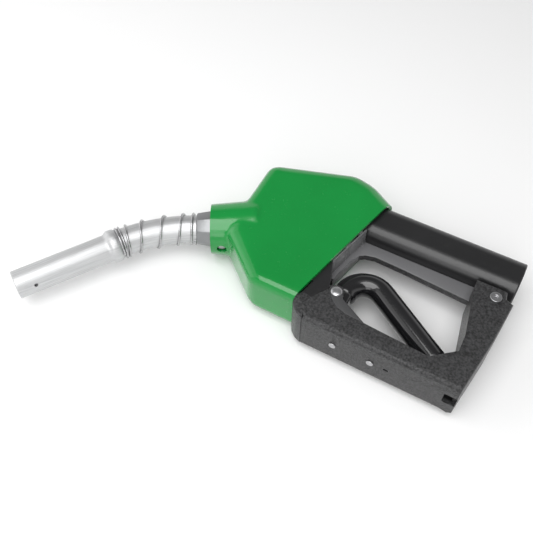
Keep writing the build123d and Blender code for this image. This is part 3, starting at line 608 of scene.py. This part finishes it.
def sleeve_mesh():
    """Dipped sleeve: rings along the arm, with both ends rounded over."""
    mesh = bmesh.new()
    length = (math.pi / 2 + SLOPE_ANGLE) * ARCH_RADIUS + SLEEVE_STRAIGHT
    rings = []
    for step in range(SLEEVE_BANDS + 1):
        distance = -SLEEVE_LEAD + (length + SLEEVE_LEAD) * step / SLEEVE_BANDS
        point, way = lever_station(distance)
        left = max(0.0, 1 - min(distance + SLEEVE_LEAD, length - distance) / SLEEVE_END_ROUND)
        radius = SLEEVE_RADIUS - SLEEVE_END_ROUND * (1 - math.sqrt(1 - left * left))
        turn = Matrix((Vector((0, 0, 1)).cross(way), Vector((0, 0, 1)), way)).transposed().to_4x4()
        made = bmesh.ops.create_circle(mesh, cap_ends=step in (0, SLEEVE_BANDS), segments=48,
                                       radius=radius, matrix=Matrix.Translation(point) @ turn)
        rings.append(made["verts"])
    bridge_rings(mesh, rings)
    bmesh.ops.recalc_face_normals(mesh, faces=mesh.faces)
    shade_by_angle(mesh, 50)
    return mesh


place_piece("lever_sleeve_dipped", sleeve_mesh(), sleeve_vinyl, "lever",
            ["lever_sleeve"])

# Hub at the sleeve's front end: a rounded black block round the arm, beside the rivet.
HUB_CENTRE = Vector((-122.0, -83.0, 0.0))
HUB_SIZE = (17.5, 16.0, 19.4)
HUB_ROUND = 3.0
hub_mesh = bmesh.new()
bmesh.ops.create_cube(hub_mesh, size=1,
                      matrix=Matrix.Translation(HUB_CENTRE) @ Matrix.Diagonal((*HUB_SIZE, 1)))
bmesh.ops.bevel(hub_mesh, geom=hub_mesh.edges[:], offset=HUB_ROUND, segments=5, profile=0.5,
                material=-1, affect="EDGES")
shade_by_angle(hub_mesh, 40)
place_piece("lever_hub_dipped", hub_mesh, sleeve_vinyl, "lever", ["lever_sleeve"])

# ---------------------------------------------------------------- hand grip
# Black vinyl insulator moulded over the handle, its front end carried on under
# the cover, and the two cheeks of the same moulding beside the lever's front end.
grip_vinyl = finish("grip_vinyl", (0.010, 0.010, 0.0105), (0.016, 0.016, 0.017), (0.30, 0.45),
                    grain=0.18, grain_scale=1500.0, coat=0.15)
grip_piece = softened("hand_grip", "hand_grip_moulded", grip_vinyl, "nozzle_body",
                      width=1.4, angle=50.0)
GRIP_FRONT = -123.5 * MM
GRIP_UNDER_COVER = 9.0 * MM
for vertex in grip_piece.data.vertices:
    if vertex.co.x < GRIP_FRONT:
        vertex.co.x -= GRIP_UNDER_COVER
softened("front_cheeks", "front_cheeks_moulded", grip_vinyl, "nozzle_body", width=0.7)

# ---------------------------------------------------------------- lever guard
# Glass-filled nylon channel round the finger window, spark-textured outside,
# with a thin smooth web under the handle.
guard_nylon = finish("guard_nylon", (0.003, 0.003, 0.003), (0.046, 0.046, 0.048), (0.34, 0.55),
                     grain=1.0, grain_scale=1300.0, cloud_scale=620.0, contrast=0.16)
# Bounds, in metres, that pick out the rims of the guard's outer faces.
GUARD_FACE = 0.0199
GUARD_FLOOR = -0.1204
GUARD_FRONT = -0.1358
GUARD_FRONT_TOP = -0.1121
GUARD_HEEL = -0.0092
RIM_ANGLE = 1.2
FLOOR_ROUND = 0.0045
HEEL_ROUND = 0.0022


def rim_on_floor(edge):
    """Whether an edge runs along the guard's floor or up its lower front corner."""
    middle = (edge.verts[0].co + edge.verts[1].co) / 2
    return middle.y < GUARD_FLOOR or (middle.x < GUARD_FRONT and middle.y < GUARD_FRONT_TOP)


def rim_on_heel(edge):
    """Whether an edge runs up the guard's rear end."""
    middle = (edge.verts[0].co + edge.verts[1].co) / 2
    return middle.y > GUARD_FLOOR and all(vert.co.x > GUARD_HEEL for vert in edge.verts)


guard_piece = softened("lever_guard", "lever_guard_moulded", guard_nylon, "nozzle_body",
                       width=0.8)
guard_mesh = bmesh.new()
guard_mesh.from_mesh(guard_piece.data)
for chosen, width in ((rim_on_floor, FLOOR_ROUND), (rim_on_heel, HEEL_ROUND)):
    rims = [edge for edge in guard_mesh.edges
            if all(abs(vert.co.z) > GUARD_FACE for vert in edge.verts)
            and edge.calc_face_angle(0.0) > RIM_ANGLE and chosen(edge)]
    bmesh.ops.bevel(guard_mesh, geom=rims, offset=width, segments=7, profile=0.5, material=-1,
                    affect="EDGES", clamp_overlap=True)
shade_by_angle(guard_mesh, 30)
guard_mesh.to_mesh(guard_piece.data)
guard_mesh.free()

# Skirt behind the cover's open rear: the guard's thin front wall, which closes
# the view into the valve body.
SKIRT = ((-128.5, -18.4), (-133.4, -38.0), (-138.2, -58.0), (-140.4, -67.6))
SKIRT_HALF_WIDTH = 19.4
SKIRT_THICKNESS = 1.4
SKIRT_LAP = 0.4
skirt_nylon = finish("skirt_nylon", (0.13, 0.13, 0.135), (0.17, 0.17, 0.175), (0.35, 0.5), grain=0.2)
skirt_mesh = bmesh.new()
for (x0, y0), (x1, y1) in zip(SKIRT, SKIRT[1:]):
    middle = Vector(((x0 + x1) / 2, (y0 + y1) / 2, 0))
    run = math.hypot(x1 - x0, y1 - y0)
    turn = Matrix.Rotation(math.atan2(y1 - y0, x1 - x0), 4, "Z")
    size = Matrix.Diagonal((run + SKIRT_LAP, SKIRT_THICKNESS, 2 * SKIRT_HALF_WIDTH, 1))
    bmesh.ops.create_cube(skirt_mesh, size=1, matrix=Matrix.Translation(middle) @ turn @ size)
bmesh.ops.bevel(skirt_mesh, geom=skirt_mesh.edges[:], offset=0.4, segments=2, profile=0.5, material=-1,
                affect="EDGES")
shade_by_angle(skirt_mesh, 40)
place_piece("guard_skirt", skirt_mesh, skirt_nylon, "nozzle_body", ["lever_guard"])


def add_plate(mesh, points, low, high, edge):
    """Adds a flat plate with the given outline, its edges rounded."""
    ring = bmesh.ops.create_circle(mesh, cap_ends=True, segments=len(points), radius=1)["verts"]
    for vert, (x, y) in zip(ring, points):
        vert.co = (x, y, low)
    top = bmesh.ops.extrude_face_region(mesh, geom=list({face for vert in ring for face in vert.link_faces}))
    raised = [part for part in top["geom"] if isinstance(part, bmesh.types.BMVert)]
    bmesh.ops.translate(mesh, vec=(0, 0, high - low), verts=raised)
    around = list({part for vert in ring + raised for part in vert.link_edges})
    bmesh.ops.recalc_face_normals(mesh, faces=mesh.faces)
    bmesh.ops.bevel(mesh, geom=around, offset=edge, segments=3, profile=0.5, material=-1, affect="EDGES")


# The web itself: a thin satin plate that fills the room between grip and window.
WEB_EDGE = ((-24.0, -17.9), (-134.0, -17.9), (-137.0, -44.0), (-139.0, -66.0), (-134.2, -66.0),
            (-133.9, -60.6), (-130.1, -41.8), (-126.2, -34.2), (-121.3, -30.7), (-113.5, -28.7),
            (-90.0, -29.3), (-24.0, -33.3))
WEB_HALF_WIDTH = 3.1
web_mesh = bmesh.new()
add_plate(web_mesh, WEB_EDGE, -WEB_HALF_WIDTH, WEB_HALF_WIDTH, edge=0.5)
shade_by_angle(web_mesh, 40)
place_piece("guard_web", web_mesh, skirt_nylon, "nozzle_body", ["lever_guard"])

# Toe: the guard's rounded front end, which tucks under the cover's foot.
TOE_EDGE = ((-146.4, -98.0), (-151.2, -105.6), (-149.8, -106.2), (-149.0, -111.2), (-147.0, -114.4),
            (-142.6, -118.0), (-136.4, -120.4), (-138.0, -99.8))
TOE_HALF_WIDTH = 19.7
toe_mesh = bmesh.new()
add_plate(toe_mesh, TOE_EDGE, -TOE_HALF_WIDTH, TOE_HALF_WIDTH, edge=1.2)
shade_by_angle(toe_mesh, 40)
place_piece("guard_toe", toe_mesh, guard_nylon, "nozzle_body", ["lever_guard"])

# Smooth raised pads that run down from the rivets beside the finger window.
PAD_EDGE = ((-127.4, -83.2), (-129.0, -87.0), (-127.2, -90.0), (-122.3, -95.4), (-117.2, -99.3),
            (-108.8, -101.9), (-100.5, -102.3), (-94.8, -102.4), (-104.0, -97.2), (-115.6, -91.2),
            (-118.0, -86.6), (-119.4, -83.0))
GUARD_HALF_WIDTH = 20.0
PAD_SUNK = 0.4
PAD_RISE = 0.35
pad_nylon = finish("pad_nylon", (0.045, 0.045, 0.047), (0.07, 0.07, 0.072), (0.32, 0.46), grain=0.1)
pad_mesh = bmesh.new()
for low in (GUARD_HALF_WIDTH - PAD_SUNK, -GUARD_HALF_WIDTH - PAD_RISE):
    add_plate(pad_mesh, PAD_EDGE, low, low + PAD_SUNK + PAD_RISE, edge=0.15)
shade_by_angle(pad_mesh, 40)
place_piece("rivet_pads", pad_mesh, pad_nylon, "nozzle_body", ["lever_guard"])

# ---------------------------------------------------------------- guard hardware
# Domed rivets in the front boss, the long screw and its nut at the rear, and
# the steel hold-open gear riveted to the floor.
DOME_POINT = Vector((-123.3, -86.6, 0.0))
DOME_RADIUS = 4.6
DOME_HEIGHT = 1.5
SHANK_RADIUS = 1.9
SHANK_LENGTH = 5.0
SHANK_MIDDLE = 17.4
plated_steel = finish("plated_steel", (0.36, 0.36, 0.37), (0.58, 0.58, 0.59), (0.30, 0.45),
                      metallic=1.0, grain=0.2, grain_scale=1800.0)
dome_mesh = bmesh.new()
for side in (1, -1):
    head = Matrix.Translation(DOME_POINT + Vector((0, 0, side * GUARD_HALF_WIDTH)))
    size = Matrix.Diagonal((DOME_RADIUS, DOME_RADIUS, DOME_HEIGHT, 1))
    bmesh.ops.create_uvsphere(dome_mesh, u_segments=48, v_segments=24, radius=1, matrix=head @ size)
    bmesh.ops.create_cone(dome_mesh, cap_ends=True, segments=24, radius1=SHANK_RADIUS,
                          radius2=SHANK_RADIUS, depth=SHANK_LENGTH,
                          matrix=Matrix.Translation(DOME_POINT + Vector((0, 0, side * SHANK_MIDDLE))))
shade_by_angle(dome_mesh, 50)
place_piece("guard_rivets_domed", dome_mesh, plated_steel, "nozzle_body",
            ["guard_rivets"])
for hardware, owner in (("rear_screw", "nozzle_body"), ("rear_nut", "nozzle_body"),
                        ("floor_rivets", "nozzle_body"), ("hold_open_bracket", "nozzle_body"),
                        ("hold_open_latch", "hold_open_prop"), ("spout_screw", "nozzle_body")):
    softened(hardware, hardware + "_finished", plated_steel, owner, width=0.35)
dress(["hold_open_pin"], turned_steel)

# ---------------------------------------------------------------- cover
# Green vinyl jacket, dip-moulded in one piece: a rounded box with a short neck
# round the spout, open at its slanting rear.
COVER_CORNERS = ((-80.0, -2.6, 20), (-141.0, 32.2, 30), (-160.0, 35.5, 26), (-233.2, 10.6, 14),
                 (-233.2, -72.3, 16), (-189.4, -108.8, 16), (-100.0, -108.8, 16))
COVER_HALF_WIDTH = 26.0
COVER_EDGE_RADIUS = 11.5
COVER_EDGE_CHANGE = 4.5
COVER_WALL = 2.6
NECK_END_RADIUS = 20.8
NECK_FOOT_RADIUS = 25.2
NECK_LENGTH = 40.0
NECK_SPARE = 4.0
REAR_CUT_TOP = Vector((-116.2, 40.0, 0.0))
REAR_CUT_FOOT = Vector((-153.8, -125.0, 0.0))
PROW_TOP = Vector((-232.6, -72.6, 0.0))
PROW_FOOT = Vector((-189.4, -108.6, 0.0))
COVER_FOOT = -108.8
# Half width at a thin end, what it gains further in, and over what distance.
REAR_TAPER = (22.9, 3.1, 42)
PROW_TAPER = (20.5, 5.5, 45)
FOOT_TAPER = (21.2, 5.0, 50)
CORNER_STEPS = 12
SIDE_STEPS = 18


def outline_points():
    """Side outline as points with their inward normals, corners rounded in plan."""
    corners = [(Vector((x, y, 0)), radius) for x, y, radius in COVER_CORNERS]
    found = []
    for index, (corner, radius) in enumerate(corners):
        back = (corners[index - 1][0] - corner).normalized()
        on = (corners[(index + 1) % len(corners)][0] - corner).normalized()
        half_angle = back.angle(on) / 2
        inward = (back + on).normalized()
        centre = corner + inward * (radius / math.sin(half_angle))
        first = math.atan2(*(corner + back * (radius / math.tan(half_angle)) - centre).yx)
        last = math.atan2(*(corner + on * (radius / math.tan(half_angle)) - centre).yx)
        sweep = (last - first + math.pi) % (2 * math.pi) - math.pi
        for step in range(CORNER_STEPS + 1):
            angle = first + sweep * step / CORNER_STEPS
            out = Vector((math.cos(angle), math.sin(angle), 0))
            found.append((centre + out * radius, -out))
    return found


def square_to(start, end):
    """Unit vector square to the way from start to end, turned clockwise from it."""
    way = end - start
    return Vector((way.y, -way.x, 0)).normalized()


REAR_OUT = square_to(REAR_CUT_FOOT, REAR_CUT_TOP)
PROW_IN = -square_to(PROW_TOP, PROW_FOOT)


def cover_half_width(point):
    """Half the cover's width there: it thins to the open rear, the prow and the foot."""
    ends = (((REAR_CUT_TOP - point).dot(REAR_OUT), REAR_TAPER),
            ((point - PROW_TOP).dot(PROW_IN), PROW_TAPER),
            (point.y - COVER_FOOT, FOOT_TAPER))
    widths = [start + gain * max(0, away) / run for away, (start, gain, run) in ends]
    return min(COVER_HALF_WIDTH, *widths)


def cover_solid():
    """Whole jacket as a closed solid: rings round the side, then the neck's cone."""
    mesh = bmesh.new()
    outline = outline_points()
    rings = []
    for step in range(SIDE_STEPS + 1):
        turned = math.pi * step / SIDE_STEPS
        upward = 1 if turned < math.pi / 2 else -1
        caps = step in (0, SIDE_STEPS)
        made = bmesh.ops.create_circle(mesh, cap_ends=caps, segments=len(outline), radius=1)
        for vert, (point, inward) in zip(made["verts"], outline):
            radius = COVER_EDGE_RADIUS - COVER_EDGE_CHANGE * inward.y
            place = point + inward * radius * (1 - math.sin(turned))
            flat = cover_half_width(place) - radius
            vert.co = (place.x, place.y, upward * (flat + radius * abs(math.cos(turned))))
        rings.append(made["verts"])
    bridge_rings(mesh, rings)
    neck = Matrix.Translation(SPOUT_ROOT - nut_axis * (NECK_LENGTH / 2 - NECK_SPARE)) @ nut_turn
    bmesh.ops.create_cone(mesh, cap_ends=True, segments=96, radius1=NECK_FOOT_RADIUS,
                          radius2=NECK_END_RADIUS, depth=NECK_LENGTH + 2 * NECK_SPARE, matrix=neck)
    bmesh.ops.recalc_face_normals(mesh, faces=mesh.faces)
    return mesh


def cover_shell():
    """Blends neck and box, opens both ends and gives the jacket its wall."""
    solid = cover_solid()
    data = bpy.data.meshes.new("cover_core")
    solid.to_mesh(data)
    solid.free()
    core = bpy.data.objects.new("cover_core", data)
    scene.collection.objects.link(core)
    blend = core.modifiers.new("blend", "REMESH")
    blend.mode = "VOXEL"
    blend.voxel_size = 1.5
    relax = core.modifiers.new("relax", "SMOOTH")
    relax.factor = 0.5
    relax.iterations = 7
    blended = evaluated_mesh(core)
    bpy.data.objects.remove(core)
    mesh = bmesh.new()
    mesh.from_mesh(blended)
    for point, out in ((REAR_CUT_TOP, REAR_OUT), (SPOUT_ROOT, nut_axis)):
        bmesh.ops.bisect_plane(mesh, geom=mesh.verts[:] + mesh.edges[:] + mesh.faces[:], plane_co=point,
                               plane_no=out, clear_outer=True, dist=0.01)
    bmesh.ops.recalc_face_normals(mesh, faces=mesh.faces)
    bmesh.ops.solidify(mesh, geom=mesh.faces[:], thickness=COVER_WALL)
    shade_by_angle(mesh, 45)
    return mesh


cover_vinyl = finish("cover_vinyl", (0.001, 0.200, 0.030), (0.003, 0.265, 0.044), (0.16, 0.30),
                     grain=0.05, grain_scale=250.0, coat=0.3, cloud_scale=18.0)
cover_piece = place_piece("body_cover_moulded", cover_shell(), cover_vinyl, "nozzle_body",
                          ["body_cover"])
# Recess for the spout's locking screw, drilled through the neck from below.
RECESS_FROM_RIM = 9.5
RECESS_FROM_AXIS = 22.5
RECESS_RADIUS = 4.2
recess_point = SPOUT_ROOT - nut_axis * RECESS_FROM_RIM + underside(ROOT_ANGLE) * RECESS_FROM_AXIS
drill(cover_piece, round_tool(recess_point, underside(ROOT_ANGLE), RECESS_RADIUS, 15.0))
